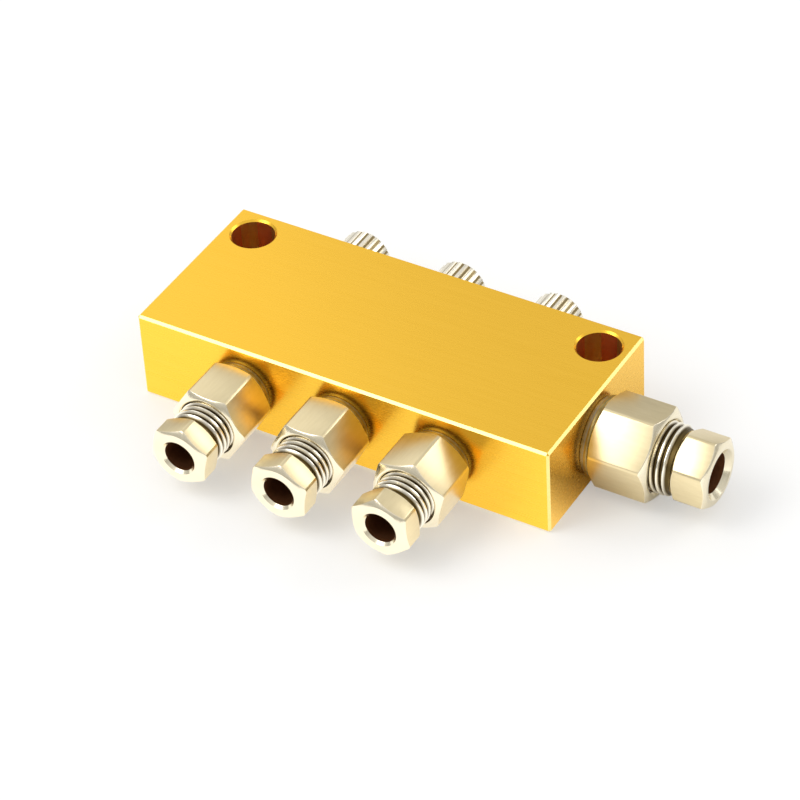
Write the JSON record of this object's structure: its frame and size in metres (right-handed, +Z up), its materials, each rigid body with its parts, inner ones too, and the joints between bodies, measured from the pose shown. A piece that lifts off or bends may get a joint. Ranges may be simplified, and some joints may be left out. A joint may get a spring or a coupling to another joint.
{
  "type": "lubricant divider block",
  "caption": "Gold anodised block that meters oil from one inlet to a row of tube outlets, with knurled metering caps and compression fittings.",
  "frame": {"origin": "centre of the block's underside", "axes": "+X along the block towards the inlet, -Y out of the outlets, +Z up from the mounting surface"},
  "size_m": [0.0898, 0.0549, 0.015],
  "materials": {
    "anodised_block": "satin gold anodised",
    "fitting_nickel": "bright nickel plated",
    "cap_nickel": "nickel plated, straight knurled",
    "plug_nickel": "nickel plated",
    "seal_washer": "soft plain metal",
    "olive_brass": "turned",
    "ball_steel": "polished",
    "spring_steel": "drawn wire",
    "seal_rubber": "moulded"
  },
  "bodies": {
    "divider": {"divider_block": "anodised_block", "end_plug": "plug_nickel", "end_plug_washer": "seal_washer", "inlet_washer": "seal_washer", "inlet_connector": "fitting_nickel", "outlet_washer_1": "seal_washer", "outlet_connector_1": "fitting_nickel", "check_seat_1": "olive_brass", "check_spring_1": "spring_steel", "cap_washer_1": "seal_washer", "metering_cap_1": "cap_nickel", "metering_spring_1": "spring_steel", "seat_disc_1": "olive_brass", "centre_tube_1": "olive_brass", "outlet_washer_2": "seal_washer", "outlet_connector_2": "fitting_nickel", "check_seat_2": "olive_brass", "check_spring_2": "spring_steel", "cap_washer_2": "seal_washer", "metering_cap_2": "cap_nickel", "metering_spring_2": "spring_steel", "seat_disc_2": "olive_brass", "centre_tube_2": "olive_brass", "outlet_washer_3": "seal_washer", "outlet_connector_3": "fitting_nickel", "check_seat_3": "olive_brass", "check_spring_3": "spring_steel", "cap_washer_3": "seal_washer", "metering_cap_3": "cap_nickel", "metering_spring_3": "spring_steel", "seat_disc_3": "olive_brass", "centre_tube_3": "olive_brass"},
    "inlet_ring": {"inlet_olive": "olive_brass"},
    "inlet_screw": {"inlet_bushing": "fitting_nickel"},
    "piston_1": {"metering_piston_1": "olive_brass", "piston_ring_1": "seal_rubber"},
    "collar_1": {"valve_collar_1": "seal_rubber"},
    "ball_1": {"check_ball_1": "ball_steel"},
    "outlet_ring_1": {"outlet_olive_1": "olive_brass"},
    "outlet_screw_1": {"outlet_bushing_1": "fitting_nickel"},
    "piston_2": {"metering_piston_2": "olive_brass", "piston_ring_2": "seal_rubber"},
    "collar_2": {"valve_collar_2": "seal_rubber"},
    "ball_2": {"check_ball_2": "ball_steel"},
    "outlet_ring_2": {"outlet_olive_2": "olive_brass"},
    "outlet_screw_2": {"outlet_bushing_2": "fitting_nickel"},
    "piston_3": {"metering_piston_3": "olive_brass", "piston_ring_3": "seal_rubber"},
    "collar_3": {"valve_collar_3": "seal_rubber"},
    "ball_3": {"check_ball_3": "ball_steel"},
    "outlet_ring_3": {"outlet_olive_3": "olive_brass"},
    "outlet_screw_3": {"outlet_bushing_3": "fitting_nickel"}
  },
  "joints": [
    {"name": "inlet_ring_travel", "type": "slide", "parent": "divider", "child": "inlet_ring", "axis": [1, 0, 0], "range_m": [-0.0015, 0.0025]},
    {"name": "inlet_screw_turn", "type": "hinge", "parent": "inlet_ring", "child": "inlet_screw", "pos_m": [0.035, 0, 0.0075], "axis": [1, 0, 0], "range_deg": [-541, 901]},
    {"name": "outlet_ring_travel_1", "type": "slide", "parent": "divider", "child": "outlet_ring_1", "axis": [0, -1, 0], "range_m": [-0.0015, 0.0025]},
    {"name": "outlet_screw_turn_1", "type": "hinge", "parent": "outlet_ring_1", "child": "outlet_screw_1", "pos_m": [-0.017, -0.015, 0.0075], "axis": [0, -1, 0], "range_deg": [-541, 901]},
    {"name": "outlet_ring_travel_2", "type": "slide", "parent": "divider", "child": "outlet_ring_2", "axis": [0, -1, 0], "range_m": [-0.0015, 0.0025]},
    {"name": "outlet_screw_turn_2", "type": "hinge", "parent": "outlet_ring_2", "child": "outlet_screw_2", "pos_m": [0, -0.015, 0.0075], "axis": [0, -1, 0], "range_deg": [-541, 901]},
    {"name": "outlet_ring_travel_3", "type": "slide", "parent": "divider", "child": "outlet_ring_3", "axis": [0, -1, 0], "range_m": [-0.0015, 0.0025]},
    {"name": "outlet_screw_turn_3", "type": "hinge", "parent": "outlet_ring_3", "child": "outlet_screw_3", "pos_m": [0.017, -0.015, 0.0075], "axis": [0, -1, 0], "range_deg": [-541, 901]},
    {"name": "piston_stroke_1", "type": "slide", "parent": "divider", "child": "piston_1", "axis": [0, 1, 0], "range_m": [0, 0.0026], "stiffness_N_per_m": 200, "springref_m": -0.004, "deforming": ["metering_spring_1"]},
    {"name": "collar_travel_1", "type": "slide", "parent": "divider", "child": "collar_1", "axis": [0, 1, 0], "range_m": [0, 0.0008]},
    {"name": "ball_lift_1", "type": "slide", "parent": "divider", "child": "ball_1", "axis": [0, -1, 0], "range_m": [0, 0.0009], "stiffness_N_per_m": 80, "springref_m": -0.002, "deforming": ["check_spring_1"]},
    {"name": "piston_stroke_2", "type": "slide", "parent": "divider", "child": "piston_2", "axis": [0, 1, 0], "range_m": [0, 0.0026], "stiffness_N_per_m": 200, "springref_m": -0.004, "deforming": ["metering_spring_2"]},
    {"name": "collar_travel_2", "type": "slide", "parent": "divider", "child": "collar_2", "axis": [0, 1, 0], "range_m": [0, 0.0008]},
    {"name": "ball_lift_2", "type": "slide", "parent": "divider", "child": "ball_2", "axis": [0, -1, 0], "range_m": [0, 0.0009], "stiffness_N_per_m": 80, "springref_m": -0.002, "deforming": ["check_spring_2"]},
    {"name": "piston_stroke_3", "type": "slide", "parent": "divider", "child": "piston_3", "axis": [0, 1, 0], "range_m": [0, 0.0026], "stiffness_N_per_m": 200, "springref_m": -0.004, "deforming": ["metering_spring_3"]},
    {"name": "collar_travel_3", "type": "slide", "parent": "divider", "child": "collar_3", "axis": [0, 1, 0], "range_m": [0, 0.0008]},
    {"name": "ball_lift_3", "type": "slide", "parent": "divider", "child": "ball_3", "axis": [0, -1, 0], "range_m": [0, 0.0009], "stiffness_N_per_m": 80, "springref_m": -0.002, "deforming": ["check_spring_3"]}
  ],
  "couplings": [
    {"joint": "inlet_screw_turn", "follows": "inlet_ring_travel", "rad_per_m": 6283.2},
    {"joint": "outlet_screw_turn_1", "follows": "outlet_ring_travel_1", "rad_per_m": 6283.2},
    {"joint": "outlet_screw_turn_2", "follows": "outlet_ring_travel_2", "rad_per_m": 6283.2},
    {"joint": "outlet_screw_turn_3", "follows": "outlet_ring_travel_3", "rad_per_m": 6283.2}
  ]
}
